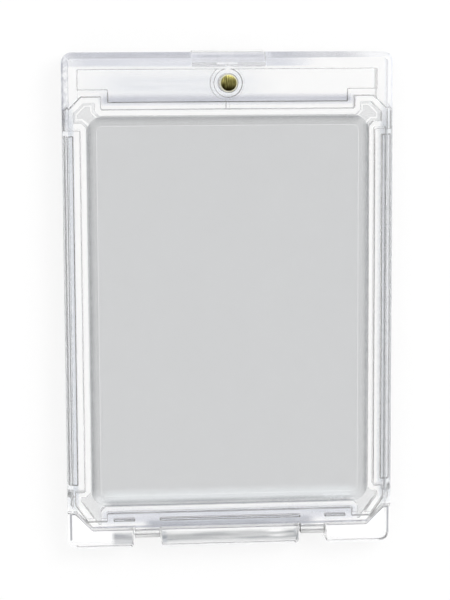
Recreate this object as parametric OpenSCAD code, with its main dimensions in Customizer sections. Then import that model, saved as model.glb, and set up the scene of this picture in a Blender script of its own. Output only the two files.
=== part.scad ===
// Two-piece magnetic display case for one trading card, lying on its back.
// Millimetres, +Z up. The origin is at the middle of the back face, so the front window looks
// up, the magnet end points along +Y and the hinge bar lies along the -Y edge.

/* [Card] */
// Width of the card that the case holds
card_w = 63.5; // [55:0.5:70]
// Length of the card
card_l = 88.9; // [80:0.5:100]
// Free space beside the card, each side
side_room = 0.85; // [0.3:0.05:2]
// Free space at each end of the card
end_room = 1.05; // [0.3:0.05:2]
// Height of the space between the two windows
card_space = 1.2; // [0.6:0.1:2]

/* [Shell] */
// Thickness of the closed case
case_t = 8; // [7.4:0.1:10]
// Height at which the two halves meet
parting_z = 4; // [3.6:0.1:4.4]
// Gap between the two halves at the parting line
parting_gap = 0.1; // [0.05:0.01:0.2]
// Skin behind the hollow parts of each half
skin_t = 2; // [1.4:0.1:2.4]
// Wall along the two long sides
side_wall = 1.3; // [1:0.05:2]
// Wall along the magnet end
head_wall = 3.9; // [2.8:0.05:4.4]
// Radius of the four corners, seen from the front
corner_r = 2.4; // [2:0.1:5]
// Rounding of the back edges, and of the front edges of the hinge bar
edge_r = 1.4; // [0.6:0.05:1.6]
// Chamfer round the front window's side of the case
rim_chamfer = 1.35; // [0.6:0.05:1.6]

/* [Frame round the card] */
// Thickness of the raised rib that frames the card
rib_t = 1.25; // [0.9:0.05:1.6]
// Height of that rib above the back window
rib_h = 2.4; // [1.6:0.1:2.4]
// Gap between the rib and the skirt of the front half
nest_gap = 0.2; // [0.15:0.01:0.35]
// Thickness of the skirt that closes round the rib
skirt_t = 1.5; // [1:0.05:1.8]
// Channel between the skirt and the side wall
moat_w = 1.25; // [0.8:0.05:2.5]
// Hollow between the skirt and the wall of the magnet end
head_room = 7.55; // [7:0.05:12]
// Wall at each side of that hollow
head_side = 3.6; // [1.6:0.1:6]
// Width of the slope round the front window's raised pad
pad_slope = 2.1; // [1.2:0.05:3]
// Radius of that pad's corners
pad_r = 3.6; // [3.1:0.1:8]
// Gap between that pad and the rib
pad_gap = 0.2; // [0.1:0.05:1]

/* [Corner pockets] */
// Reach of an upper pocket past the card space
pocket_d = 2.95; // [2.8:0.05:3.2]
// Bevel of an upper pocket's outer corner
pocket_bevel = 2.4; // [1.6:0.1:2.6]
// Run of an upper pocket along the end rib
pocket_end_run = 2; // [1.6:0.1:5]
// Run of an upper pocket down the side rib
pocket_side_run = 1.65; // [1.5:0.05:4]
// Ease at the ends of the ribs
rib_ease = 1.1; // [0.8:0.05:1.3]
// Reach of a lower pocket past the side of the card space
foot_pocket_d = 2.3; // [1.9:0.05:2.4]
// Depth of a lower pocket past the end of the card space
foot_pocket_l = 4.4; // [3.8:0.05:4.6]
// Run of a lower pocket along the end rib
foot_pocket_run = 2.3; // [2:0.05:4]
// Run of a lower pocket up the side rib
foot_pocket_rise = 2.2; // [1.8:0.05:4]
// Flat left at the tip of a lower pocket
foot_pocket_tip = 0.5; // [0.3:0.05:1]
// Upright stretch of a lower pocket before its slope
foot_pocket_step = 0.9; // [0.7:0.05:1.4]

/* [Hinge] */
// Width of the hinge bar
bar_w = 4.55; // [4.2:0.05:6]
// Gap between the bar and the front half
bar_gap = 0.7; // [0.6:0.05:0.9]
// Gap between a corner block and the front half
block_gap = 0.4; // [0.3:0.05:0.6]
// Wall along the hinge edge of the front half
foot_wall = 1.2; // [1:0.05:1.6]
// Channel inside that wall
foot_moat = 0.7; // [0.5:0.05:1.2]
// Skirt beside that channel
foot_skirt = 1.1; // [0.8:0.05:1.5]
// Room that the skirt needs to swing clear of the rib
foot_gap = 0.6; // [0.6:0.05:1]
// Width of the side of a corner block
block_side = 2; // [1.6:0.1:3]
// Bevel of the front half beside a corner block
corner_cut = 3.7; // [3:0.1:4.2]
// Height of the hinge rod's axis
hinge_z = 6; // [5.9:0.05:6.1]
// Distance of that axis from the outer edge
hinge_in = 3.9; // [3.8:0.05:4]
// Radius of the hinge rod
rod_r = 0.7; // [0.6:0.05:0.75]
// Running gap round the rod
rod_gap = 0.05; // [0.03:0.01:0.1]
// Outer radius of a hook
hook_r = 1.5; // [1.4:0.05:1.6]
// Rise of the bar above the hinge axis
bar_rise = 0.95; // [0.8:0.05:1]
// Width of a hook
hook_w = 5.8; // [4:0.1:8]
// Gap on each side of a hook
hook_gap = 0.4; // [0.2:0.05:0.8]
// Distance between the two hooks
hook_pitch = 39; // [30:0.5:46]
// Rounding where a notch opens out of the bar
notch_r = 1; // [0.5:0.1:1.3]
// Chamfer along the hinge edge of the front half
foot_chamfer = 0.5; // [0.2:0.05:0.6]

/* [Magnets] */
// Diameter of each magnet
magnet_d = 4.2; // [3:0.1:4.6]
// Length of each magnet
magnet_l = 3; // [2:0.1:3.1]
// Chamfer round the face of a magnet
magnet_chamfer = 0.25; // [0.1:0.05:0.4]
// Gap round a magnet in its pocket
magnet_gap = 0.03; // [0.01:0.01:0.1]
// Distance of a magnet's face below the surface
magnet_sunk = 0.2; // [0.1:0.05:0.3]
// Distance of the magnets from the end of the case
magnet_in = 7.1; // [6.4:0.1:7.4]
// Diameter of the boss in the front half
front_boss_d = 6.5; // [5.6:0.1:7]
// Diameter of the boss in the back half
back_boss_d = 7.9; // [6:0.1:8]
// Thickness of the web between the back boss and the rib
web_t = 0.75; // [0.5:0.05:1.5]

/* [Thumb grip] */
// Width of the scoop in the front half
scoop_w = 16.9; // [12:0.1:24]
// Length of the scoop's slope
scoop_l = 3.35; // [2.4:0.05:3.5]
// Depth of the scoop at the edge
scoop_h = 2.8; // [1.6:0.1:3.2]
// Width of the lip on the back half
lip_w = 16.5; // [10:0.1:24]
// Distance that the lip stands out
lip_out = 0.4; // [0.2:0.05:1]
// Thickness of the lip
lip_t = 1.6; // [1:0.1:2]

/* [Hidden] */
$fn = 64;
clear = [0.86, 0.88, 0.9, 0.45];
gold = [0.78, 0.62, 0.2];
over = 1;

well_w = card_w + 2 * side_room;
well_l = card_l + 2 * end_room;
half_w = well_w / 2;

side_l = rib_t + nest_gap + skirt_t + moat_w + side_wall;
head_l = rib_t + nest_gap + skirt_t + head_room + head_wall;
foot_l = bar_w + bar_gap + foot_wall + foot_moat + foot_skirt + foot_gap + rib_t;
body_w = well_w + 2 * side_l;
body_l = foot_l + well_l + head_l;

low_y = -body_l / 2;
high_y = body_l / 2;
well_low = low_y + foot_l;
well_high = well_low + well_l;

back_top = parting_z - parting_gap / 2;
front_bottom = parting_z + parting_gap / 2;
back_window = (case_t - card_space) / 2;
front_window = back_window + card_space;
rib_top = back_window + rib_h;
ceiling = case_t - skin_t;

hinge_y = low_y + hinge_in;
bar_y = low_y + bar_w;
edge_y = bar_y + bar_gap;
bar_top = hinge_z + bar_rise;
notch_w = hook_w + 2 * hook_gap;
cut_x = body_w / 2 - block_side;
block_y = edge_y + corner_cut - block_gap;
block_x = cut_x + block_gap * (sqrt(2) - 1);

// The skirt's lower edge swings on a circle round the hinge, so it starts this far below the rib
swing_clear = 0.1;
rib_low = well_low - rib_t;
drop = hinge_z - front_bottom;
skirt_y = hinge_y + sqrt(pow(rib_low - hinge_y - swing_clear, 2) - drop * drop);
swing_shift = rib_low - nest_gap - skirt_y;
rib_stop = hinge_y + norm([edge_y + foot_wall - hinge_y, drop]) + swing_clear;

magnet_y = high_y - magnet_in;
mid_x = body_w / 2 - side_wall;
mid_high = high_y - head_wall;

// A point list seen in a mirror, in reverse so that it still runs anticlockwise
function mirrored(points) = [for (i = [len(points) - 1:-1:0]) [-points[i][0], points[i][1]]];

// The corner pocket at the magnet end, on the right, with the rib ends eased by e
function head_pocket(e) = concat(
    e > 0 ? [[half_w, well_high - pocket_side_run - e]] : [],
    [[half_w + e, well_high - pocket_side_run]],
    [[half_w + pocket_d, well_high - pocket_side_run]],
    [[half_w + pocket_d, well_high + pocket_d - pocket_bevel]],
    [[half_w + pocket_d - pocket_bevel, well_high + pocket_d]],
    [[half_w - pocket_end_run, well_high + pocket_d]],
    [[half_w - pocket_end_run, well_high + e]],
    e > 0 ? [[half_w - pocket_end_run - e, well_high]] : []
);

// The corner pocket at the hinge end, on the right
function foot_pocket(e) = concat(
    e > 0 ? [[half_w - foot_pocket_run - e, well_low]] : [],
    [[half_w - foot_pocket_run, well_low - e]],
    [[half_w - foot_pocket_run, well_low - foot_pocket_l]],
    [[half_w - foot_pocket_run + foot_pocket_tip, well_low - foot_pocket_l]],
    [[half_w + foot_pocket_d, well_low + foot_pocket_rise - foot_pocket_step]],
    [[half_w + foot_pocket_d, well_low + foot_pocket_rise]],
    [[half_w + e, well_low + foot_pocket_rise]],
    e > 0 ? [[half_w, well_low + foot_pocket_rise + e]] : []
);

// The edge of the card space with its four pockets
function well_edge(e) = concat(
    foot_pocket(e), head_pocket(e), mirrored(head_pocket(e)), mirrored(foot_pocket(e))
);

function unit(v) = v / norm(v);

// An anticlockwise outline moved outward by d, with mitred corners
function grown(points, d) = [
    for (i = [0:len(points) - 1])
        let (
            before = points[(i + len(points) - 1) % len(points)],
            here = points[i],
            after = points[(i + 1) % len(points)],
            u = unit(here - before),
            v = unit(after - here),
            m = [u[1] + v[1], -u[0] - v[0]],
            turn = 1 + u * v
        )
        here + m * d / turn
];

// A rounded rectangle of the case's outline, drawn in by d
module outline(d = 0) {
    r = corner_r - d;
    w = body_w / 2 - corner_r;
    l = body_l / 2 - corner_r;
    square([2 * w, 2 * (l + r)], center = true);
    square([2 * (w + r), 2 * l], center = true);
    for (x = [-w, w], y = [-l, l]) translate([x, y]) circle(r);
}

// The quarter round along the case's outline, centred on height z
module edge_round(z) {
    w = body_w / 2 - corner_r;
    l = body_l / 2 - corner_r;
    for (s = [-1, 1]) {
        translate([s * (body_w / 2 - edge_r), 0, z])
            rotate([90, 0, 0])
                cylinder(h = 2 * l, r = edge_r, center = true);
        translate([0, s * (body_l / 2 - edge_r), z])
            rotate([0, 90, 0])
                cylinder(h = 2 * w, r = edge_r, center = true);
    }
    for (x = [-w, w], y = [-l, l])
        translate([x, y, z])
            rotate_extrude()
                intersection() {
                    translate([corner_r - edge_r, 0]) circle(edge_r);
                    translate([0, -2 * edge_r]) square([2 * corner_r, 4 * edge_r]);
                }
}

// A slab of the case's outline from z = 0 to h, rounded at its foot
module slab_round_below(h) {
    linear_extrude(h) outline(edge_r);
    translate([0, 0, edge_r]) linear_extrude(h - edge_r) outline();
    edge_round(edge_r);
}

// A slab of the case's outline from z0 to z1, rounded at its top
module slab_round_above(z0, z1) {
    translate([0, 0, z0]) linear_extrude(z1 - z0) outline(edge_r);
    translate([0, 0, z0]) linear_extrude(z1 - edge_r - z0) outline();
    edge_round(z1 - edge_r);
}

// A slab from z0 to z1 with sloped sides and rounded corners. The middles of its corners stand w
// and l from its own, and their radius goes from r0 to r1.
module sloped_slab(w, l, z0, r0, z1, r1) {
    rotate([90, 0, 0]) linear_extrude(2 * l, center = true) slab_side(w, z0, r0, z1, r1);
    across(2 * w) slab_side(l, z0, r0, z1, r1);
    for (x = [-w, w], y = [-l, l]) translate([x, y, z0]) cylinder(h = z1 - z0, r1 = r0, r2 = r1);
}

// That slab as a side view
module slab_side(w, z0, r0, z1, r1) {
    polygon([[-w - r0, z0], [w + r0, z0], [w + r1, z1], [-w - r1, z1]]);
}

// All that lies beyond y, as a flat area
module beyond(y) {
    translate([-body_w, y]) square([2 * body_w, 2 * body_l]);
}

// The area that the front half covers
module front_area() {
    polygon([
        [-cut_x + corner_cut, edge_y], [cut_x - corner_cut, edge_y], [cut_x, edge_y + corner_cut],
        [body_w, edge_y + corner_cut], [body_w, body_l], [-body_w, body_l],
        [-body_w, edge_y + corner_cut], [-cut_x, edge_y + corner_cut]
    ]);
}

// The area of the hinge bar and the two corner blocks
module bar_area() {
    bar_x = block_x - (block_y - bar_y);
    polygon([
        [-body_w, -body_l], [body_w, -body_l], [body_w, block_y], [block_x, block_y],
        [bar_x, bar_y], [-bar_x, bar_y], [-block_x, block_y], [-body_w, block_y]
    ]);
}

// The hollow inside the side walls and the wall of the magnet end, from y = low up
module walls_inside(low) {
    head_x = body_w / 2 - head_side;
    translate([-mid_x, low]) square([2 * mid_x, well_high - low]);
    translate([-head_x, low]) square([2 * head_x, mid_high - low]);
}

// The hollow inside the walls of the front half
module front_inside() {
    low = edge_y + foot_wall;
    slope_x = cut_x - corner_cut - foot_wall * (sqrt(2) - 1);
    intersection() {
        walls_inside(low);
        polygon([
            [-slope_x, low], [slope_x, low], [slope_x + body_l, low + body_l], [-slope_x - body_l, low + body_l]
        ]);
    }
}

// A notch through the bar, with its mouth rounded outwards
module notch() {
    translate([-notch_w / 2, low_y - over]) square([notch_w, bar_w + over]);
    difference() {
        translate([-notch_w / 2 - notch_r, low_y - over]) square([notch_w + 2 * notch_r, over + notch_r]);
        for (s = [-1, 1]) translate([s * (notch_w / 2 + notch_r), low_y + notch_r]) circle(notch_r);
    }
}

// The three standing circles that a magnet sits in
module magnet_pocket(z0, z1) {
    translate([0, magnet_y, z0]) cylinder(h = z1 - z0, d = magnet_d + 2 * magnet_gap);
}

// The rib that frames the card
module rib() {
    difference() {
        polygon(grown(well_edge(rib_ease), rib_t));
        polygon(well_edge(rib_ease));
    }
}

// The room that the front half leaves for that rib
module rib_room() {
    intersection() {
        union() {
            polygon(grown(well_edge(rib_ease), rib_t + nest_gap));
            translate([0, -swing_shift]) polygon(grown(well_edge(rib_ease), rib_t + nest_gap));
        }
        beyond(edge_y + foot_wall);
    }
}

// The skirt that closes round the rib, before the rib's room is cut from it
module skirt() {
    polygon(grown(well_edge(0), rib_t + nest_gap + skirt_t));
}

// One hook, as a side view: Y to the right and Z up
module hook_side() {
    reach = edge_y + foot_wall / 2 - hinge_y;
    difference() {
        union() {
            circle(hook_r);
            translate([0, -hook_r]) square([reach, 2 * hook_r]);
        }
        circle(rod_r + rod_gap);
        translate([-2 * hook_r, -rod_r - rod_gap]) square([2 * hook_r, 2 * (rod_r + rod_gap)]);
    }
}

// The slope of the thumb scoop, as a side view
module scoop_side() {
    grade = scoop_h / scoop_l;
    polygon([
        [high_y - scoop_l - over, case_t + over * grade], [high_y + over, case_t - scoop_h - over * grade],
        [high_y + over, case_t + over * grade]
    ]);
}

// Turns a side view, drawn with Y to the right and Z up, into a solid of width w along X
module across(w) {
    rotate([90, 0, 90]) linear_extrude(w, center = true) children();
}

// Puts the middle of the closed case, lip included, at the origin
module place() {
    translate([0, -lip_out / 2, 0]) children();
}

module back_solid() {
    difference() {
        slab_round_below(back_top);
        // Hollow outside the rib
        translate([0, 0, skin_t])
            linear_extrude(case_t)
                difference() {
                    walls_inside(well_low + foot_pocket_rise);
                    polygon(grown(well_edge(rib_ease), rib_t));
                    translate([0, magnet_y]) circle(d = back_boss_d);
                    translate([-web_t / 2, well_high]) square([web_t, magnet_y - well_high]);
                }
        // The card space
        translate([0, 0, back_window]) linear_extrude(case_t) polygon(well_edge(rib_ease));
    }
    // The rib, where it stands above the parting line
    translate([0, 0, back_window])
        linear_extrude(rib_top - back_window)
            intersection() {
                rib();
                beyond(rib_stop);
            }
    // The hinge bar and the corner blocks
    intersection() {
        union() {
            slab_round_below(parting_z);
            slab_round_above(edge_r, bar_top);
        }
        linear_extrude(case_t) bar_area();
    }
    // The lip under the thumb scoop
    translate([-lip_w / 2, high_y - head_wall, back_top - lip_t]) cube([lip_w, head_wall + lip_out, lip_t]);
}

module back_half() {
    color(clear)
        place() {
            difference() {
                back_solid();
                for (s = [-1, 1])
                    translate([s * hook_pitch / 2, 0, -over]) linear_extrude(case_t + 2 * over) notch();
                magnet_pocket(-over, magnet_sunk + magnet_l);
            }
            // The hinge rods across the notches
            for (s = [-1, 1])
                translate([s * hook_pitch / 2, hinge_y, hinge_z])
                    rotate([0, 90, 0])
                        cylinder(h = notch_w + 2 * hook_gap, r = rod_r, center = true);
        }
}

// The front half's outer shape, before the hinge's room is cut from it
module front_block() {
    translate([0, 0, front_bottom]) linear_extrude(case_t - rim_chamfer - front_bottom) outline();
    sloped_slab(
        body_w / 2 - corner_r, body_l / 2 - corner_r,
        case_t - rim_chamfer, corner_r, case_t, corner_r - rim_chamfer
    );
}

// The raised pad behind the front window, which grows out of the skin
module pad() {
    grade = pad_slope / (ceiling - front_window);
    root = skin_t / 4;
    translate([0, (well_low + well_high) / 2, 0])
        sloped_slab(
            well_w / 2 - pad_gap - pad_r, well_l / 2 - pad_gap - pad_r,
            front_window, pad_r - pad_slope, ceiling + root, pad_r + grade * root
        );
}

module front_solid() {
    difference() {
        intersection() {
            front_block();
            linear_extrude(case_t) front_area();
        }
        // Hollow behind the front skin
        translate([0, 0, front_bottom - over])
            linear_extrude(ceiling - front_bottom + over)
                union() {
                    difference() {
                        front_inside();
                        skirt();
                        translate([0, magnet_y]) circle(d = front_boss_d);
                        for (s = [-1, 1])
                            translate([s * hook_pitch / 2 - hook_w / 2, edge_y]) square([hook_w, foot_l]);
                    }
                    rib_room();
                }
        // Chamfer along the hinge edge
        translate([0, edge_y, case_t])
            rotate([45, 0, 0])
                cube([body_w, foot_chamfer * sqrt(2), foot_chamfer * sqrt(2)], center = true);
        across(scoop_w) scoop_side();
        magnet_pocket(case_t - magnet_sunk - magnet_l, case_t + over);
    }
    pad();
}

module front_half() {
    color(clear)
        place() {
            front_solid();
            for (s = [-1, 1])
                translate([s * hook_pitch / 2, hinge_y, hinge_z]) across(hook_w) hook_side();
        }
}

// A magnet that stands on z = 0, with its seen face up
module magnet() {
    cylinder(h = magnet_l - magnet_chamfer, d = magnet_d);
    translate([0, 0, magnet_l - magnet_chamfer])
        cylinder(h = magnet_chamfer, d1 = magnet_d, d2 = magnet_d - 2 * magnet_chamfer);
}

module front_magnet() {
    color(gold)
        place()
            translate([0, magnet_y, case_t - magnet_sunk - magnet_l]) magnet();
}

module back_magnet() {
    color(gold)
        place()
            translate([0, magnet_y, magnet_sunk + magnet_l]) mirror([0, 0, 1]) magnet();
}

back_half();
front_half();
front_magnet();
back_magnet();
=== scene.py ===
"""Looks of a clear two-part display case for one trading card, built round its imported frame.

The case lies on its back on a white table. Both halves are dressed copies of their solids, with the
small edge radii of a moulding, and the two magnets are turned discs with a chamfered face.
"""

import logging
import math
from dataclasses import dataclass
from enum import Enum

import bmesh
import bpy
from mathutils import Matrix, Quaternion, Vector


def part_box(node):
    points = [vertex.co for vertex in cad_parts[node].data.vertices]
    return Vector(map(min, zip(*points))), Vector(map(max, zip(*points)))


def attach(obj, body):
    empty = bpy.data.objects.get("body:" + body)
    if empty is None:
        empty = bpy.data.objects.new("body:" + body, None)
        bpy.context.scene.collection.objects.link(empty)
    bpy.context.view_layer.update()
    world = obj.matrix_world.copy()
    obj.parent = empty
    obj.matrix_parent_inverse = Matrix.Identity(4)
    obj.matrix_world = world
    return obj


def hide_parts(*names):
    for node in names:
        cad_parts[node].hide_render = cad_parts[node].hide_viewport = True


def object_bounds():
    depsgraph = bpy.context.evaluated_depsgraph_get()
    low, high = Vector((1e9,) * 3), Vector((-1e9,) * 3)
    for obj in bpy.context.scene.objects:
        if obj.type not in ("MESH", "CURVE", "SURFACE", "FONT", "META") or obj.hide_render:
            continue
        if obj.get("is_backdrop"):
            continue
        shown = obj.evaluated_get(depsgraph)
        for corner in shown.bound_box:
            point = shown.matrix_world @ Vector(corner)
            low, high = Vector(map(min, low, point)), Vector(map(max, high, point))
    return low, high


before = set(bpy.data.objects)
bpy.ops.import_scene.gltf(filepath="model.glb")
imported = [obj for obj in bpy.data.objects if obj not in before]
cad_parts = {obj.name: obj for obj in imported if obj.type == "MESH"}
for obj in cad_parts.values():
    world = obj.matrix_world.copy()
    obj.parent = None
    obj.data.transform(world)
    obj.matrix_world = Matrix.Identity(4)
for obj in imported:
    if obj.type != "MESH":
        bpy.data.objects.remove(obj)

MM = 0.001
# The card's room between the two windows, and the heights of the inner faces of the two skins.
CARD_SPACE = 1.2 * MM
BACK_SKIN = 2.0 * MM
FRONT_SKIN = 6.0 * MM
PHOTO_HEIGHT_PX = 600
LOG = logging.getLogger("display_case")

Rgba = tuple[float, float, float, float]

# Sockets that share their names with others, by number: those of a Mix node, and the ends of the
# range in a Map Range node for vectors.
MIX_FACTOR = 0
MIX_LOW = 2
MIX_HIGH = 3
MIX_LOW_COLOUR = 6
MIX_HIGH_COLOUR = 7
MIX_COLOUR_OUT = 2
RANGE_START = 7
RANGE_END = 8


class Body(Enum):
    """The two bodies that the hinge joins."""

    BACK = "back"
    FRONT = "front"


class Slot(Enum):
    """The record's material slots."""

    CLEAR = "clear_plastic"
    GOLD = "gold_plate"


class Surface(Enum):
    """The kinds of face on a moulded half, in the order of its material slots."""

    FRAME = 0
    WINDOW = 1
    RIM = 2
    BED = 3
    WALL = 4
    BAR_EDGE = 5
    ROUNDING = 6


def linear(hex_code: str) -> Rgba:
    """Turn an sRGB hex colour into linear RGBA, by the curve of the sRGB standard.

    Args:
        hex_code: Six hex digits, with or without a leading #.

    Returns:
        Red, green and blue from 0 to 1 in linear light, and an alpha of 1.
    """
    digits = hex_code.lstrip("#")
    channels = []
    for start in (0, 2, 4):
        value = int(digits[start:start + 2], 16) / 255
        channels.append(value / 12.92 if value <= 0.04045 else ((value + 0.055) / 1.055) ** 2.4)
    return (channels[0], channels[1], channels[2], 1.0)


def add_node(tree: bpy.types.NodeTree, kind: str, inputs: dict | None = None,
             **settings: object) -> bpy.types.Node:
    """Add a node, set its properties, and fill or link its inputs.

    Args:
        tree: The node tree that gets the node.
        kind: Blender's type name of the node.
        inputs: Input name or number to a value, or to an output socket to link from.
        **settings: Properties of the node itself.

    Returns:
        The new node.
    """
    node = tree.nodes.new(kind)
    for name, value in settings.items():
        setattr(node, name, value)
    for key, value in (inputs or {}).items():
        if isinstance(value, bpy.types.NodeSocket):
            tree.links.new(value, node.inputs[key])
        else:
            node.inputs[key].default_value = value
    return node


def fresh_material(name: str) -> bpy.types.Material:
    """Make an empty node material.

    Args:
        name: The material's name.

    Returns:
        The material, with no nodes in its tree.
    """
    material = bpy.data.materials.new(name)
    material.use_nodes = True
    material.node_tree.nodes.clear()
    return material


@dataclass(frozen=True)
class Shade:
    """A soft-edged stretch of painted shade or painted light on a moulding, greyer or clearer.

    It stands in for light that the plastic bends and mirrors there. The middle, half the size and half
    the soft edge are across and along the case, in millimetres. Streaky noise drawn out along the case
    thins the painted shade out by the share given as streak, and flow_range says between which levels
    of that noise it goes from thin to full.
    """

    middle: tuple[float, float]
    half: tuple[float, float]
    soft: tuple[float, float]
    painted_tone: str
    streak: float = 0.35
    flow_range: tuple[float, float] = (0.35, 0.65)

    def lay(self, tree: bpy.types.NodeTree, place: bpy.types.NodeSocket, flow: bpy.types.NodeSocket,
            colour: bpy.types.NodeSocket | Rgba) -> bpy.types.NodeSocket:
        """Lay the painted shade or painted light over a colour.

        Args:
            tree: The material's node tree.
            place: Object coordinates.
            flow: Streaky noise from 0 to 1, drawn out along the case, that breaks up the painted shade.
            colour: The colour below, as a socket or as a plain colour.

        Returns:
            The colour with the shade on it.
        """
        # The third numbers only keep the range along Z from being empty.
        middle = (self.middle[0] * MM, self.middle[1] * MM, 0.0)
        outer = ((self.half[0] + self.soft[0]) * MM, (self.half[1] + self.soft[1]) * MM, 1.0)
        inner = ((self.half[0] - self.soft[0]) * MM, (self.half[1] - self.soft[1]) * MM, 0.5)
        thin, full = self.flow_range
        offset = add_node(tree, "ShaderNodeVectorMath", {0: place, 1: middle}, operation="SUBTRACT")
        away = add_node(tree, "ShaderNodeVectorMath", {0: offset.outputs[0]}, operation="ABSOLUTE")
        sides = add_node(tree, "ShaderNodeMapRange",
                         {"Vector": away.outputs[0], RANGE_START: outer, RANGE_END: inner},
                         data_type="FLOAT_VECTOR", interpolation_type="SMOOTHSTEP")
        parts = add_node(tree, "ShaderNodeSeparateXYZ", {0: sides.outputs["Vector"]})
        both = add_node(tree, "ShaderNodeMath", {0: parts.outputs["X"], 1: parts.outputs["Y"]},
                        operation="MULTIPLY")
        broken = add_node(tree, "ShaderNodeMapRange", {"Value": flow, "From Min": thin, "From Max": full,
                                                       "To Min": 1 - self.streak, "To Max": 1.0})
        amount = add_node(tree, "ShaderNodeMath", {0: both.outputs[0], 1: broken.outputs[0]},
                          operation="MULTIPLY")
        # Painted shade or painted light: the stretch's colour is mixed into the colour below.
        mix = add_node(tree, "ShaderNodeMix",
                       {MIX_FACTOR: amount.outputs[0], MIX_LOW_COLOUR: colour,
                        MIX_HIGH_COLOUR: linear(self.painted_tone)},
                       data_type="RGBA")
        return mix.outputs[MIX_COLOUR_OUT]


@dataclass(frozen=True)
class ClearPolystyrene:
    """Crystal polystyrene, injection moulded in a polished tool.

    The eye sees through it, with white and grey lines where edges bend the light. Its faces wave
    very slightly where the melt flowed, and carry hairline scuffs from handling, which are drawn
    0.5 mm wide, coarser than real ones, so that they show. Its painted tone, where not white, and its
    shades are painted shade and painted light: greyer and clearer stretches that stand in for light
    that its edges and panes bend and mirror. The lengths of scuffs and of the streaks that break up
    the shades are multiples of their widths. Clarity is the share that is clear, and the rest is
    milky haze.
    """

    name: str
    painted_tone: str
    ior: float = 1.59
    clarity: float = 1.0
    roughness: float = 0.0
    shades: tuple[Shade, ...] = ()
    wave_mm: float = 9.0
    wave_height_mm: float = 0.004
    scuff_mm: float = 0.5
    scuff_length: float = 14.0
    scuff_turn: float = math.radians(24)
    scuff_range: tuple[float, float] = (0.6, 0.75)
    scuff_roughness: float = 0.03
    flow_mm: float = 1.1
    flow_length: float = 12.0

    def build(self) -> bpy.types.Material:
        """Build the material.

        Returns:
            A transmitting Principled material with flow waves, hairline scuffs and its painted shades.
        """
        material = fresh_material(self.name)
        tree = material.node_tree
        place = add_node(tree, "ShaderNodeTexCoord").outputs["Object"]
        wave = add_node(tree, "ShaderNodeTexNoise", {"Vector": place, "Scale": 1 / (self.wave_mm * MM),
                                                     "Detail": 1.0, "Roughness": 0.4})
        turned = add_node(tree, "ShaderNodeMapping",
                          {"Vector": place, "Rotation": (0.0, 0.0, self.scuff_turn),
                           "Scale": (1.0, 1 / self.scuff_length, 1.0)})
        scuff = add_node(tree, "ShaderNodeTexNoise",
                         {"Vector": turned.outputs[0], "Scale": 1 / (self.scuff_mm * MM),
                          "Detail": 4.0, "Roughness": 0.7})
        faint, deep = self.scuff_range
        rough = add_node(tree, "ShaderNodeMapRange",
                         {"Value": scuff.outputs[0], "From Min": faint, "From Max": deep,
                          "To Min": self.roughness, "To Max": self.roughness + self.scuff_roughness})
        bump = add_node(tree, "ShaderNodeBump", {"Height": wave.outputs[0], "Strength": 1.0,
                                                 "Distance": self.wave_height_mm * MM})
        shader = add_node(tree, "ShaderNodeBsdfPrincipled",
                          {"Base Color": self._shaded(tree, place), "IOR": self.ior,
                           "Transmission Weight": self.clarity, "Roughness": rough.outputs[0],
                           "Normal": bump.outputs[0]})
        add_node(tree, "ShaderNodeOutputMaterial", {"Surface": shader.outputs[0]})
        return material

    def _shaded(self, tree: bpy.types.NodeTree,
                place: bpy.types.NodeSocket) -> bpy.types.NodeSocket | Rgba:
        """Lay the painted shades over the painted tone, one after the other.

        Args:
            tree: The material's node tree.
            place: Object coordinates.

        Returns:
            The last painted shade's socket, or the plain painted tone where there are no shades.
        """
        if not self.shades:
            return linear(self.painted_tone)
        drawn = add_node(tree, "ShaderNodeMapping",
                         {"Vector": place, "Scale": (1 / self.flow_length, 1.0, 1.0)})
        flow = add_node(tree, "ShaderNodeTexNoise",
                        {"Vector": drawn.outputs[0], "Scale": 1 / (self.flow_mm * MM),
                         "Detail": 2.0, "Roughness": 0.5})
        # The painted tone, with the painted shade and painted light laid over it one after another.
        colour = linear(self.painted_tone)
        for shade in self.shades:
            colour = shade.lay(tree, place, flow.outputs[0], colour)
        return colour


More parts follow.
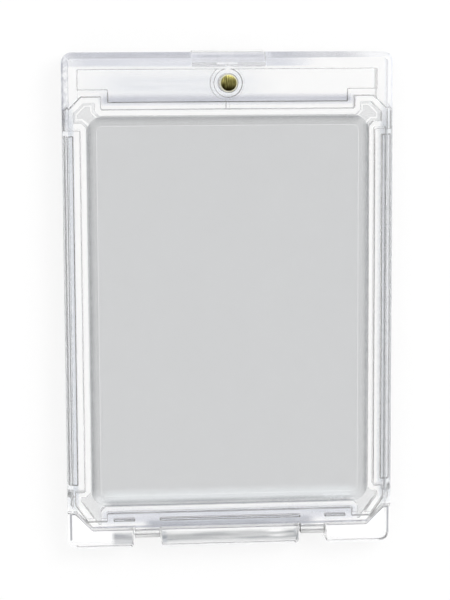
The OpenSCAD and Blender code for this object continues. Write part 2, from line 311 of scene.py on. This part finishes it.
@dataclass(frozen=True)
class GoldPlate:
    """Gold plate over nickel on a sintered magnet.

    A pale yellow metal that mirrors the dark camera side as olive. Ground streaks run along the case
    on its face, their colour swinging from dark to pale partly as grain and partly as painted
    reflection, and painted shade darkens the end by the window. The streaks are coarser than real
    grinding, so that they show.
    """

    name: str = "gold_plated_ground_magnet"
    node: str = "front_magnet"
    light: str = "#FFF59A"
    dark: str = "#4E4614"
    painted_shade: str = "#2C260A"
    roughness: float = 0.3
    uneven: tuple[float, float] = (0.7, 1.4)
    streak_mm: float = 0.15
    streak_length: float = 14.0
    streak_height_mm: float = 0.12
    streak_range: tuple[float, float] = (0.42, 0.6)
    painted_shade_end_mm: float = 0.5
    bright_end_mm: float = 0.7
    pit_mm: float = 0.12

    def build(self) -> bpy.types.Material:
        """Build the material.

        Returns:
            A metal whose colour and bump follow the ground streaks, whose colour darkens to painted shade
            at the window end, and whose roughness follows pits.
        """
        material = fresh_material(self.name)
        tree = material.node_tree
        place = add_node(tree, "ShaderNodeTexCoord").outputs["Object"]
        drawn = add_node(tree, "ShaderNodeMapping",
                         {"Vector": place, "Scale": (1.0, 1 / self.streak_length, 1.0)})
        streak = add_node(tree, "ShaderNodeTexNoise",
                          {"Vector": drawn.outputs[0], "Scale": 1 / (self.streak_mm * MM),
                           "Detail": 2.0, "Roughness": 0.5})
        pits = add_node(tree, "ShaderNodeTexNoise",
                        {"Vector": place, "Scale": 1 / (self.pit_mm * MM), "Detail": 2.0})
        # The streaks' dark and pale colours are partly grain and partly painted reflection.
        darkest, lightest = self.streak_range
        amount = add_node(tree, "ShaderNodeMapRange",
                          {"Value": streak.outputs[0], "From Min": darkest, "From Max": lightest})
        ground = add_node(tree, "ShaderNodeMix",
                          {MIX_FACTOR: amount.outputs[0], MIX_LOW_COLOUR: linear(self.dark),
                           MIX_HIGH_COLOUR: linear(self.light)},
                          data_type="RGBA")
        # Painted shade: the colour darkens towards the end by the window.
        parts = add_node(tree, "ShaderNodeSeparateXYZ", {0: place})
        low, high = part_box(self.node)
        end = add_node(tree, "ShaderNodeMapRange",
                       {"Value": parts.outputs["Y"], "From Min": low.y + self.painted_shade_end_mm * MM,
                        "From Max": high.y - self.bright_end_mm * MM},
                       interpolation_type="SMOOTHSTEP")
        colour = add_node(tree, "ShaderNodeMix",
                          {MIX_FACTOR: end.outputs[0], MIX_LOW_COLOUR: linear(self.painted_shade),
                           MIX_HIGH_COLOUR: ground.outputs[MIX_COLOUR_OUT]},
                          data_type="RGBA")
        smooth, coarse = self.uneven
        rough = add_node(tree, "ShaderNodeMapRange",
                         {"Value": pits.outputs[0], "To Min": self.roughness * smooth,
                          "To Max": self.roughness * coarse})
        bump = add_node(tree, "ShaderNodeBump", {"Height": streak.outputs[0], "Strength": 1.0,
                                                 "Distance": self.streak_height_mm * MM})
        shader = add_node(tree, "ShaderNodeBsdfPrincipled",
                          {"Base Color": colour.outputs[MIX_COLOUR_OUT], "Metallic": 1.0,
                           "Roughness": rough.outputs[0], "Normal": bump.outputs[0]})
        add_node(tree, "ShaderNodeOutputMaterial", {"Surface": shader.outputs[0]})
        return material


@dataclass(frozen=True)
class PaintedHighlightChamfer:
    """The magnet's chamfer, coloured a pale near-white as a painted highlight.

    It rings the face with a pale, soft shine on every side. A full metal would mirror the dark
    camera side here too, so little of it is metallic.
    """

    name: str = "chamfer_painted_highlight"
    light: str = "#FFFFF6"
    dark: str = "#FFFAD6"
    metallic: float = 0.1
    roughness: float = 0.45
    uneven: tuple[float, float] = (1.3, 0.7)
    mottle_mm: float = 0.5

    def build(self) -> bpy.types.Material:
        """Build the material.

        Returns:
            A pale painted highlight whose colour and roughness vary in a soft mottle.
        """
        material = fresh_material(self.name)
        tree = material.node_tree
        place = add_node(tree, "ShaderNodeTexCoord").outputs["Object"]
        mottle = add_node(tree, "ShaderNodeTexNoise",
                        {"Vector": place, "Scale": 1 / (self.mottle_mm * MM), "Detail": 3.0})
        colour = add_node(tree, "ShaderNodeMix",
                          {MIX_FACTOR: mottle.outputs[0], MIX_LOW_COLOUR: linear(self.dark),
                           MIX_HIGH_COLOUR: linear(self.light)},
                          data_type="RGBA")
        coarse, smooth = self.uneven
        rough = add_node(tree, "ShaderNodeMapRange",
                         {"Value": mottle.outputs[0], "To Min": self.roughness * coarse,
                          "To Max": self.roughness * smooth})
        shader = add_node(tree, "ShaderNodeBsdfPrincipled",
                          {"Base Color": colour.outputs[MIX_COLOUR_OUT], "Metallic": self.metallic,
                           "Roughness": rough.outputs[0]})
        add_node(tree, "ShaderNodeOutputMaterial", {"Surface": shader.outputs[0]})
        return material


@dataclass(frozen=True)
class WhiteCard:
    """Matt white card on the studio table.

    It shows plain white, and darkens only where the case keeps the light off it. The card itself is
    a mid grey that takes the shadow, and a glow lifts it to white for the eye, in mirrors and
    through plastic.
    """

    name: str = "matt_white_studio_card"
    colour: str = "#868686"
    lift: float = 0.79
    lift_through: float = 1.08

    def build(self) -> bpy.types.Material:
        """Build the material.

        Returns:
            A matt material that shows white to the eye, in mirrors and through the case.
        """
        material = fresh_material(self.name)
        tree = material.node_tree
        path = add_node(tree, "ShaderNodeLightPath")
        seen = add_node(tree, "ShaderNodeMath", {0: path.outputs["Is Camera Ray"],
                                                 1: path.outputs["Is Glossy Ray"]}, operation="MAXIMUM")
        plain = add_node(tree, "ShaderNodeMath", {0: seen.outputs[0], 1: self.lift}, operation="MULTIPLY")
        strength = add_node(tree, "ShaderNodeMix",
                            {MIX_FACTOR: path.outputs["Is Transmission Ray"],
                             MIX_LOW: plain.outputs[0], MIX_HIGH: self.lift_through})
        glow = add_node(tree, "ShaderNodeEmission",
                        {"Color": (1.0, 1.0, 1.0, 1.0), "Strength": strength.outputs[0]})
        matt = add_node(tree, "ShaderNodeBsdfDiffuse", {"Color": linear(self.colour)})
        both = add_node(tree, "ShaderNodeAddShader", {0: matt.outputs[0], 1: glow.outputs[0]})
        add_node(tree, "ShaderNodeOutputMaterial", {"Surface": both.outputs[0]})
        return material


@dataclass
class MouldedHalf:
    """One clear half: its solid with the edges rounded as a mould leaves them."""

    node: str
    piece: str
    magnet: str
    body: Body
    finishes: dict[Surface, bpy.types.Material]

    # Heights of the card's window and of the skin's inner face, and the coves round both.
    window_z: float
    skin_z: float
    skin_cove: float = 0.3 * MM
    bed_cove: float = 0.9 * MM
    cove_steps: int = 5
    # A cove needs an edge this many times its radius long, and this distance from the boss's middle.
    least_run: float = 1.4
    boss_reach: float = 6.0 * MM

    # The radius on the edges, the angle from which on an edge gets it or a cove, its steps, and how
    # strongly the flats hold their own normals.
    edge_radius: float = 0.12 * MM
    crease: float = math.radians(32)
    edge_steps: int = 3
    flat_weight: int = 100

    # What counts as the same point, as flat, as folded back and as the same height.
    weld: float = 0.002 * MM
    flat_angle: float = math.radians(0.5)
    fold_angle: float = math.radians(170)
    level_slack: float = 0.02 * MM

    # A face is sloped when the upright share of its normal lies between these two.
    slope: tuple[float, float] = (0.2, 0.97)
    # The least area of the window, and the share of the pad's height that its slope takes up.
    window_area: float = 4000 * MM * MM
    pad_share: float = 0.98
    # The rim's and the bar's edges lie above rim_z, the bar's far edge beyond bar_far_y, and the
    # outer halves of the hooks beyond hook_y. The span is where a hook lies beside the middle line.
    rim_z: float = 6.6 * MM
    bar_far_y: float = -55.6 * MM
    hook_y: float = -53.9 * MM
    hook_span: tuple[float, float] = (15.5 * MM, 23.0 * MM)

    def build(self) -> bpy.types.Object:
        """Copy the node's mesh, round its edges, dress it, and let it ride on its body.

        Returns:
            The dressed half.
        """
        mesh = self._clean_copy()
        half = bpy.data.objects.new(self.piece, mesh)
        bpy.context.scene.collection.objects.link(half)
        self._round_edges(half)
        self._dress(half)
        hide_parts(self.node)
        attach(half, self.body.value)
        LOG.info("%s: %d faces", self.piece, len(half.data.polygons))
        return half

    def _clean_copy(self) -> bpy.types.Mesh:
        """Weld the node's triangles, merge the flat ones and cove the inner corners.

        Returns:
            A closed mesh with one polygon or a few for each flat face.
        """
        bm = bmesh.new()
        bm.from_mesh(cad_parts[self.node].data)
        bmesh.ops.remove_doubles(bm, verts=bm.verts, dist=self.weld)
        self._unfold(bm)
        self._merge_flats(bm)
        bmesh.ops.recalc_face_normals(bm, faces=bm.faces)
        self._cove(bm, self.skin_z, self.skin_cove)
        self._cove(bm, self.window_z, self.bed_cove)
        mesh = bpy.data.meshes.new(self.piece)
        bm.to_mesh(mesh)
        bm.free()
        return mesh

    def _unfold(self, bm: bmesh.types.BMesh) -> None:
        """Merge hair-thin triangles that lie folded back over their neighbours.

        Args:
            bm: The mesh to change.
        """
        folded = [edge for edge in bm.edges
                  if len(edge.link_faces) == 2 and edge.calc_face_angle(0.0) > self.fold_angle]
        bmesh.ops.dissolve_edges(bm, edges=folded, use_verts=False)
        LOG.info("%s: %d folded edges merged", self.piece, len(folded))

    def _merge_flats(self, bm: bmesh.types.BMesh) -> None:
        """Join the triangles of each flat, so that only short seams and the middle line's are left.

        A flat with a hole in it keeps two seams. Long ones at a slant spoil the rounding of its edges.

        Args:
            bm: The mesh to change.
        """
        bmesh.ops.bisect_plane(bm, geom=bm.verts[:] + bm.edges[:] + bm.faces[:], dist=self.weld,
                               plane_co=(0.0, 0.0, 0.0), plane_no=(1.0, 0.0, 0.0))
        seams = [edge for edge in bm.edges
                 if len(edge.link_faces) == 2 and edge.calc_face_angle(0.0) < self.flat_angle]
        for seam in sorted(seams, key=self._seam_order):
            if seam.is_valid and len(seam.link_faces) == 2:
                bmesh.utils.face_join(list(seam.link_faces), True)
        bmesh.ops.dissolve_limit(bm, angle_limit=self.flat_angle, verts=bm.verts, edges=[])

    def _seam_order(self, seam: bmesh.types.BMEdge) -> tuple[bool, float]:
        """Give the order in which seams go: long ones first, and those on the middle line last."""
        middle = all(abs(vert.co.x) < self.level_slack for vert in seam.verts)
        return (middle, -seam.calc_length())

    def _cove(self, bm: bmesh.types.BMesh, level: float, radius: float) -> None:
        """Round the inner corners at one level, where walls and ribs rise from a flat.

        Corners too tight for the radius stay sharp, and so do those by the magnet's boss.

        Args:
            bm: The mesh to change.
            level: Height of the flat.
            radius: Radius of the coves.
        """
        inner = {edge for edge in bm.edges
                 if len(edge.link_faces) == 2 and edge.calc_face_angle_signed() < -self.crease
                 and all(self._takes_cove(vert, level) for vert in edge.verts)}
        tight = {edge for edge in inner if edge.calc_length() < self.least_run * radius}
        beside = {edge for edge in inner for vert in edge.verts if tight.intersection(vert.link_edges)}
        bmesh.ops.bevel(bm, geom=list(inner - beside), offset=radius, offset_type="OFFSET",
                        segments=self.cove_steps, profile=0.5, affect="EDGES", clamp_overlap=False,
                        loop_slide=True)
        LOG.info("%s: %d inner corners at %.1f mm", self.piece, len(inner - beside), level / MM)

    def _takes_cove(self, vert: bmesh.types.BMVert, level: float) -> bool:
        """Tell whether a corner lies at a level and clear of the magnet's boss.

        Args:
            vert: The corner.
            level: Height of the flat.

        Returns:
            Whether its edges may be coved.
        """
        low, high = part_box(self.magnet)
        away = math.hypot(vert.co.x - (low.x + high.x) / 2, vert.co.y - (low.y + high.y) / 2)
        return abs(vert.co.z - level) < self.level_slack and away > self.boss_reach

    def _round_edges(self, half: bpy.types.Object) -> None:
        """Round every crease by the small radius that a mould's edges leave.

        Args:
            half: The object whose mesh is replaced by the rounded one.
        """
        for polygon in half.data.polygons:
            polygon.use_smooth = True
        bevel = half.modifiers.new("edge_radius", "BEVEL")
        bevel.width = self.edge_radius
        bevel.segments = self.edge_steps
        bevel.limit_method = "ANGLE"
        bevel.angle_limit = self.crease
        bevel.use_clamp_overlap = False
        bevel.miter_outer = "MITER_ARC"
        level = half.modifiers.new("flat_normals", "WEIGHTED_NORMAL")
        level.mode = "FACE_AREA"
        level.weight = self.flat_weight
        depsgraph = bpy.context.evaluated_depsgraph_get()
        rounded = bpy.data.meshes.new_from_object(half.evaluated_get(depsgraph))
        half.modifiers.clear()
        half.data = rounded

    def _dress(self, half: bpy.types.Object) -> None:
        """Give each face the finish of its kind.

        Args:
            half: The object to dress.
        """
        mesh = half.data
        mesh.materials.clear()
        for surface in Surface:
            mesh.materials.append(self.finishes[surface])
        for polygon in mesh.polygons:
            heights = [mesh.vertices[corner].co.z for corner in polygon.vertices]
            polygon.material_index = self._surface(polygon, min(heights), max(heights)).value

    def _surface(self, polygon: bpy.types.MeshPolygon, bottom: float, top: float) -> Surface:
        """Tell which kind of surface a face of this half belongs to.

        Args:
            polygon: The face.
            bottom: Height of its lowest corner.
            top: Height of its highest corner.

        Returns:
            Its surface.
        """
        middle = polygon.center
        normal = polygon.normal
        if abs(middle.z - self.window_z) < self.level_slack and polygon.area > self.window_area:
            return Surface.WINDOW
        upright, level = self.slope
        if abs(normal.z) >= level:
            return Surface.FRAME
        on_front = self.body is Body.FRONT
        if abs(normal.z) <= upright or (on_front and middle.y < self.hook_y):
            return Surface.WALL
        if on_front and normal.z > 0 and middle.z > self.rim_z:
            return Surface.RIM if abs(normal.y) > abs(normal.x) else Surface.FRAME
        if self.window_z - self.level_slack < bottom and top < self._bed_top() + self.level_slack:
            return Surface.BED
        on_bar = not on_front and middle.y > self.bar_far_y and middle.z > self.rim_z
        by_hook = self.hook_span[0] < abs(middle.x) < self.hook_span[1]
        return Surface.BAR_EDGE if on_bar and not by_hook else Surface.ROUNDING

    def _bed_top(self) -> float:
        """Give the height where the slopes round the window end.

        Returns:
            The top of the cove on the back half, or nearly that of the pad on the front half.
        """
        if self.body is Body.BACK:
            return self.window_z + self.bed_cove
        return self.window_z + (self.skin_z - self.window_z) * self.pad_share


@dataclass
class Magnet:
    """A plated disc magnet with a chamfered face, turned about its own axis."""

    node: str
    piece: str
    body: Body
    plate: bpy.types.Material
    painted_highlight: bpy.types.Material
    face_up: bool
    chamfer: float = 0.25 * MM
    rim_radius: float = 0.04 * MM
    turns: int = 96
    # Two rings on the face, as shares of its radius, which keep its polygons short.
    face_rings: tuple[float, float] = (0.6, 0.25)
    # The upright share of the normals on the chamfer, and the least angle that stays a crease.
    chamfer_slope: tuple[float, float] = (0.2, 0.95)
    crease: float = math.radians(30)

    def _profile(self, radius: float, height: float) -> list[tuple[float, float]]:
        """Work out the rings of the half section, from the blind end's rim to the face.

        Args:
            radius: The disc's radius.
            height: The disc's height.

        Returns:
            Radius and height of each ring, with the rims eased.
        """
        ease = self.rim_radius
        slope = ease * math.sqrt(0.5)
        face = radius - self.chamfer
        shoulder = height - self.chamfer
        outer, inner = self.face_rings
        return [
            (radius - ease, 0.0), (radius, ease),
            (radius, shoulder - ease), (radius - slope, shoulder + slope),
            (face + slope, height - slope), (face - ease, height),
            (face * outer, height), (face * inner, height),
        ]

    def _disc(self) -> bpy.types.Mesh:
        """Turn the half section about the middle of the node's box.

        Returns:
            A closed mesh of rings, with a flat at each end.
        """
        low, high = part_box(self.node)
        centre = (low + high) / 2
        bm = bmesh.new()
        rings = []
        for radius, z in self._profile((high.x - low.x) / 2, high.z - low.z):
            level = low.z + z if self.face_up else high.z - z
            ring = []
            for step in range(self.turns):
                angle = math.tau * step / self.turns
                ring.append(bm.verts.new((centre.x + radius * math.cos(angle),
                                          centre.y + radius * math.sin(angle), level)))
            rings.append(ring)
        for lower, upper in zip(rings, rings[1:]):
            for step in range(self.turns):
                after = (step + 1) % self.turns
                bm.faces.new((lower[step], lower[after], upper[after], upper[step]))
        bm.faces.new(rings[0])
        bm.faces.new(rings[-1])
        bmesh.ops.recalc_face_normals(bm, faces=bm.faces)
        mesh = bpy.data.meshes.new(self.piece)
        bm.to_mesh(mesh)
        bm.free()
        return mesh

    def build(self) -> bpy.types.Object:
        """Turn the disc, plate it, and let it ride on its body.

        Returns:
            The dressed magnet.
        """
        mesh = self._disc()
        mesh.materials.append(self.plate)
        mesh.materials.append(self.painted_highlight)
        # The chamfer takes the painted highlight, the rest the gold plate.
        low, high = self.chamfer_slope
        for polygon in mesh.polygons:
            polygon.use_smooth = True
            polygon.material_index = int(low < abs(polygon.normal.z) < high)
        mesh.set_sharp_from_angle(angle=self.crease)
        disc = bpy.data.objects.new(self.piece, mesh)
        bpy.context.scene.collection.objects.link(disc)
        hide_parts(self.node)
        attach(disc, self.body.value)
        LOG.info("%s: %d faces", self.piece, len(mesh.polygons))
        return disc


@dataclass(frozen=True)
class Lamp:
    """A square softbox that looks at the case's middle, in metres and watts."""

    name: str
    place: tuple[float, float, float]
    size: float
    power: float

    def build(self) -> bpy.types.Object:
        """Set the lamp up, aimed at the origin.

        Returns:
            The lamp.
        """
        data = bpy.data.lights.new(self.name, "AREA")
        data.shape = "SQUARE"
        data.size = self.size
        data.energy = self.power
        lamp = bpy.data.objects.new(self.name, data)
        lamp.location = self.place
        lamp.rotation_mode = "QUATERNION"
        lamp.rotation_quaternion = Vector(self.place).to_track_quat("Z", "Y")
        bpy.context.scene.collection.objects.link(lamp)
        return lamp


@dataclass
class Studio:
    """The white table, the bright room with its dark camera side, the softbox and the camera."""

    card: bpy.types.Material
    floor_size: float = 3.0
    floor_drop: float = 0.02 * MM

    # The room's light, and that of the dark hood round the camera, which gold and gloss mirror.
    room: float = 1.0
    hood: float = 0.03
    hood_middle: tuple[float, float, float] = (0.09, -0.12, 0.988)
    hood_inner: float = math.radians(20)
    hood_outer: float = math.radians(38)
    key: Lamp = Lamp("key_softbox", place=(0.36, 0.34, 0.55), size=0.4, power=1.6)

    # The camera fitted to the outline in the photo: its place, its turn as an axis times an angle,
    # and its focal length in pixels. The sensor's height is in millimetres.
    camera_place: tuple[float, float, float] = (-40.298 * MM, 55.279 * MM, 444.739 * MM)
    camera_turn: tuple[float, float, float] = (-0.123679, -0.089629, -0.010592)
    focal_px: float = 1911.97
    sensor: float = 24.0
    clip_start: float = 10.0 * MM

    def build(self) -> None:
        """Set the studio up round the case."""
        self._floor()
        self._room()
        self._camera()
        self.key.build()
        LOG.info("studio ready")

    def _floor(self) -> None:
        """Lay the white table just under the back face."""
        bm = bmesh.new()
        bmesh.ops.create_grid(bm, x_segments=1, y_segments=1, size=self.floor_size / 2)
        mesh = bpy.data.meshes.new("white_table")
        bm.to_mesh(mesh)
        bm.free()
        mesh.materials.append(self.card)
        floor = bpy.data.objects.new("white_table", mesh)
        floor.location.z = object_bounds()[0][2] - self.floor_drop
        bpy.context.scene.collection.objects.link(floor)
        floor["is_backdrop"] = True

    def _room(self) -> None:
        """Light the room white all round, with a dark hood above the case."""
        world = bpy.data.worlds.new("studio_room")
        bpy.context.scene.world = world
        world.use_nodes = True
        tree = world.node_tree
        tree.nodes.clear()
        place = add_node(tree, "ShaderNodeTexCoord").outputs["Generated"]
        along = add_node(tree, "ShaderNodeVectorMath", {0: place, 1: self.hood_middle},
                         operation="DOT_PRODUCT")
        level = add_node(tree, "ShaderNodeMapRange",
                         {"Value": along.outputs["Value"],
                          "From Min": math.cos(self.hood_outer), "From Max": math.cos(self.hood_inner),
                          "To Min": self.room, "To Max": self.hood},
                         interpolation_type="SMOOTHSTEP")
        light = add_node(tree, "ShaderNodeBackground",
                         {"Color": (1.0, 1.0, 1.0, 1.0), "Strength": level.outputs[0]})
        add_node(tree, "ShaderNodeOutputWorld", {"Surface": light.outputs[0]})

    def _camera(self) -> None:
        """Place the camera where the photograph was taken from."""
        data = bpy.data.cameras.new("photo_camera")
        data.sensor_fit = "VERTICAL"
        data.sensor_height = self.sensor
        data.lens = self.focal_px * self.sensor / PHOTO_HEIGHT_PX
        data.clip_start = self.clip_start
        camera = bpy.data.objects.new("photo_camera", data)
        turn = Vector(self.camera_turn)
        camera.rotation_mode = "QUATERNION"
        camera.rotation_quaternion = Quaternion(turn.normalized(), turn.length)
        camera.location = self.camera_place
        bpy.context.scene.collection.objects.link(camera)
        bpy.context.scene.camera = camera


# Painted shade and painted light: the photo's greyer and whiter stretches on the moulded faces, from the
# magnet end to the hinge end.
FRAME_SHADES = (
    # Painted shade on the band inside the rim, the hollow left of the magnet, and the strip before the
    # rib.
    Shade((-10.0, 55.4), (27.0, 1.1), (6.0, 0.4), "#EEEFF3"),
    Shade((-12.0, 50.0), (18.0, 3.0), (8.0, 2.4), "#F6F7F9"),
    Shade((0.0, 46.7), (29.0, 0.9), (1.2, 0.8), "#E2E3E8"),
    # Painted shade on the bands along the left and right sides, and on their greyer and clearer upper
    # ends.
    Shade((-36.6, -2.0), (1.1, 46.0), (0.5, 4.0), "#EEF0F3"),
    Shade((36.6, -2.0), (1.2, 46.0), (0.5, 4.0), "#E4E6E9"),
    Shade((-37.6, 48.5), (1.0, 8.0), (0.3, 2.0), "#BCBEC6", streak=0.5),
    Shade((37.6, 50.0), (1.0, 8.5), (0.3, 2.0), "#F2F3F6"),
    # Painted shade on the channel at the hinge end, and a dark band of it before the hinge bar.
    Shade((0.0, -50.4), (30.0, 1.6), (1.5, 0.9), "#EDEEF2"),
    Shade((0.0, -52.5), (19.5, 0.7), (1.5, 0.7), "#CDCFD5"),
    # Painted shade on the hinge bar's middle, its left end and in dark patches beside the hooks, and a
    # painted glint.
    Shade((0.0, -55.9), (18.5, 0.7), (0.8, 0.9), "#5E6368"),
    Shade((-25.0, -55.9), (2.6, 0.9), (0.8, 0.6), "#72767E"),
    Shade((-15.8, -55.9), (0.9, 1.0), (0.5, 0.5), "#9A9EA4"),
    Shade((16.4, -55.9), (0.8, 0.9), (0.4, 0.4), "#9A9EA4"),
    Shade((11.2, -55.5), (1.8, 0.3), (1.8, 0.4), "#FFFFFF", streak=0.0),
)

# Painted light on the thumb scoop, with a painted dark line along its top edge and a paler foot, and the
# rim's painted shade fading towards its two ends.
RIM_SHADES = (
    Shade((0.6, 55.3), (9.2, 2.2), (0.4, 0.4), "#D8D9DF", streak=0.3),
    Shade((0.6, 56.5), (7.5, 0.3), (2.0, 0.3), "#B9BAC1", streak=0.3),
    Shade((0.6, 54.5), (9.2, 0.5), (0.6, 0.3), "#F4F5F8", streak=0.3),
    Shade((39.0, 56.5), (9.0, 4.0), (5.0, 1.0), "#ECEDF0", streak=0.2),
    Shade((-39.0, 56.5), (2.4, 4.0), (1.6, 1.0), "#D8D9DF", streak=0.2),
)

# Painted light: a pale stretch along the window's foot, which runs on over its slope.
FOOT_GLOW = Shade((0.0, -46.5), (29.5, 1.8), (2.5, 1.2), "#EBEEF0", streak=0.15)

# Painted shade: dark lines where the slopes round the window end, at its head, its two sides and its
# foot, with the foot's painted light.
BED_SHADES = (
    Shade((0.0, 42.7), (30.6, 0.5), (0.8, 1.0), "#8E9093", streak=0.15),
    Shade((-32.1, -2.0), (0.5, 44.0), (1.0, 2.0), "#85878A", streak=0.15),
    Shade((32.1, -2.0), (0.5, 44.0), (1.0, 2.0), "#7E8083", streak=0.15),
    FOOT_GLOW,
    Shade((0.0, -47.1), (29.0, 0.7), (1.5, 0.6), "#8E9094", streak=0.15),
)

CLEAR_FINISHES = {
    # Level faces and the chamfers along the sides, straight from the tool: they have no colour of their
    # own, so the white table shows through them, under the painted shade and painted light of
    # FRAME_SHADES.
    Surface.FRAME: ClearPolystyrene("clear_polystyrene_moulded", "#FFFFFF", shades=FRAME_SHADES),
    # Painted shade: the two panes of the polished window are coloured an even grey, which darkens the
    # white table behind them, with the painted light of the foot's pale stretch.
    Surface.WINDOW: ClearPolystyrene("clear_polystyrene_polished_window", "#D6D7D8",
                                     shades=(FOOT_GLOW,)),
    # Painted shade: the rim's chamfer at the magnet end and the slope of the scoop are coloured as lilac
    # grey bands, with painted light over the scoop and the rim's ends.
    Surface.RIM: ClearPolystyrene("clear_polystyrene_cut_rim", "#ACADB5", shades=RIM_SHADES),
    # Painted shade: the slopes round the window frame it with a soft dark line, with painted light along
    # its foot.
    Surface.BED: ClearPolystyrene("clear_polystyrene_coved_bed", "#D6D7D8", shades=BED_SHADES),
    # Upright walls look milky white from above. A clear wall of the plastic's real IOR renders
    # black where light is mirrored along it many times, so these are hazy and bend light less.
    Surface.WALL: ClearPolystyrene("clear_polystyrene_drafted_wall", "#FFFFFF", ior=1.33, clarity=0.54,
                                   roughness=0.2),
    # Painted shade: the upper edges of the hinge bar and its corner blocks are coloured as thin dark
    # lines.
    Surface.BAR_EDGE: ClearPolystyrene("clear_polystyrene_broken_edge", "#74767C"),
    # All other slopes and rounded edges show as fine grey lines. They are a little hazy, and bend
    # light less, for the walls' reason.
    Surface.ROUNDING: ClearPolystyrene("clear_polystyrene_rounded_edge", "#FDFDFE", ior=1.25, clarity=0.8,
                                       roughness=0.1),
}


def box_rows() -> list[list[float]]:
    """Read the whole object's box as plain numbers.

    Returns:
        The lowest and the highest corner.
    """
    return [[float(value) for value in corner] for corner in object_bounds()]


def main() -> None:
    """Read the middle height of the case's box, then build the case and the studio."""
    logging.basicConfig(level=logging.INFO, format="%(name)s: %(message)s")
    cad_box = box_rows()
    middle = (cad_box[0][2] + cad_box[1][2]) / 2
    clear = {surface: finish.build() for surface, finish in CLEAR_FINISHES.items()}
    gold = GoldPlate().build()
    painted_highlight = PaintedHighlightChamfer().build()
    MouldedHalf("back_half", "moulded_back_half", "back_magnet", Body.BACK, clear,
                window_z=middle - CARD_SPACE / 2, skin_z=BACK_SKIN).build()
    MouldedHalf("front_half", "moulded_front_half", "front_magnet", Body.FRONT, clear,
                window_z=middle + CARD_SPACE / 2, skin_z=FRONT_SKIN).build()
    Magnet("front_magnet", "plated_front_magnet", Body.FRONT, gold, painted_highlight, face_up=True).build()
    Magnet("back_magnet", "plated_back_magnet", Body.BACK, gold, painted_highlight, face_up=False).build()
    Studio(WhiteCard().build()).build()
    bpy.context.scene.view_settings.view_transform = "Standard"


if __name__ == "__main__":
    main()
